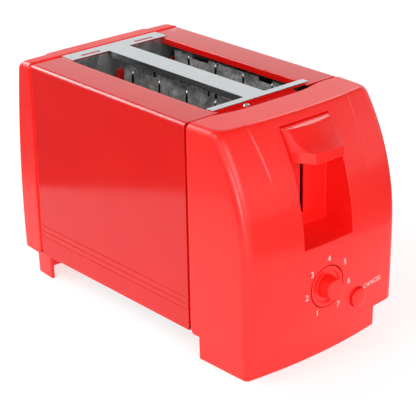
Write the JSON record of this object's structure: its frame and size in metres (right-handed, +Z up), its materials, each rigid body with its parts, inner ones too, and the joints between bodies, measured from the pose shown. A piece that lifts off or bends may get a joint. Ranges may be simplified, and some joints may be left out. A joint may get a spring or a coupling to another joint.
{
  "type": "pop up toaster",
  "caption": "Pop-up bread toaster with an enamelled steel wrap between two moulded end caps, top slots, a lever that lowers the bread carriage, a browning dial and a cancel button.",
  "frame": {"origin": "middle of the footprint on the worktop", "axes": "+X along the bread slots towards the lever end, +Y to the right seen from the lever end, +Z up"},
  "size_m": [0.2742, 0.146, 0.1784],
  "materials": {
    "red_enamel": "stoved gloss enamel",
    "red_plastic": "moulded gloss",
    "bright_steel": "bright plated sheet",
    "galvanised": "galvanised sheet",
    "spring_steel": "drawn wire",
    "nichrome": "oxidised ribbon",
    "mica": "pressed mica board",
    "copper_enamel": "enamelled winding",
    "phenolic": "phenolic board",
    "black_plastic": "moulded",
    "white_plastic": "moulded"
  },
  "bodies": {
    "body": {"body_wrap": "red_enamel", "front_end_cap": "red_plastic", "rear_end_cap": "red_plastic", "top_plate": "bright_steel", "base_plate": "galvanised", "crumb_tray_hinge_pin": "spring_steel", "front_chassis_plate": "galvanised", "rear_chassis_plate": "galvanised", "left_element_board": "mica", "centre_element_board": "mica", "right_element_board": "mica", "left_outer_heating_ribbon": "nichrome", "left_inner_heating_ribbon": "nichrome", "right_inner_heating_ribbon": "nichrome", "right_outer_heating_ribbon": "nichrome", "left_outer_bread_guard": "spring_steel", "left_inner_bread_guard": "spring_steel", "right_inner_bread_guard": "spring_steel", "right_outer_bread_guard": "spring_steel", "left_reflector": "galvanised", "right_reflector": "galvanised", "carriage_guide_rod": "spring_steel", "carriage_spring": "spring_steel", "magnet_core": "galvanised", "magnet_coil": "copper_enamel", "mains_contact_block": "phenolic", "rear_contact_blade": "bright_steel", "front_contact_blade": "bright_steel", "circuit_board": "phenolic", "browning_potentiometer": "black_plastic", "cancel_switch": "black_plastic", "dropper_capacitor": "white_plastic", "timer_chip": "black_plastic", "mains_lead_bush": "black_plastic", "front_left_cap_screw": "bright_steel", "front_right_cap_screw": "bright_steel", "rear_left_cap_screw": "bright_steel", "rear_right_cap_screw": "bright_steel", "front_top_screw": "bright_steel", "left_board_screw": "bright_steel", "right_board_screw": "bright_steel"},
    "carriage": {"left_bread_rack": "spring_steel", "right_bread_rack": "spring_steel", "carriage_bracket": "galvanised", "lever_arm": "galvanised", "lever_knob": "red_plastic", "magnet_keeper": "spring_steel", "contact_presser": "white_plastic"},
    "dial": {"browning_dial": "red_plastic", "potentiometer_shaft": "bright_steel"},
    "button": {"cancel_button": "red_plastic"},
    "tray": {"crumb_tray": "galvanised"}
  },
  "joints": [
    {"name": "carriage_slide", "type": "slide", "parent": "body", "child": "carriage", "axis": [0, 0, -1], "range_m": [0, 0.05], "stiffness_N_per_m": 120, "springref_m": -0.025, "deforming": ["carriage_spring"]},
    {"name": "dial_turn", "type": "hinge", "parent": "body", "child": "dial", "pos_m": [0.1264, -0.0016, 0.058], "axis": [1, 0, 0], "range_deg": [-150, 150]},
    {"name": "cancel_press", "type": "slide", "parent": "body", "child": "button", "axis": [-1, 0, 0], "range_m": [0, 0.002], "stiffness_N_per_m": 400, "springref_m": -0.001},
    {"name": "crumb_tray_swing", "type": "hinge", "parent": "body", "child": "tray", "pos_m": [-0.0862, 0, 0.0226], "axis": [0, 1, 0], "range_deg": [0, 80]}
  ]
}
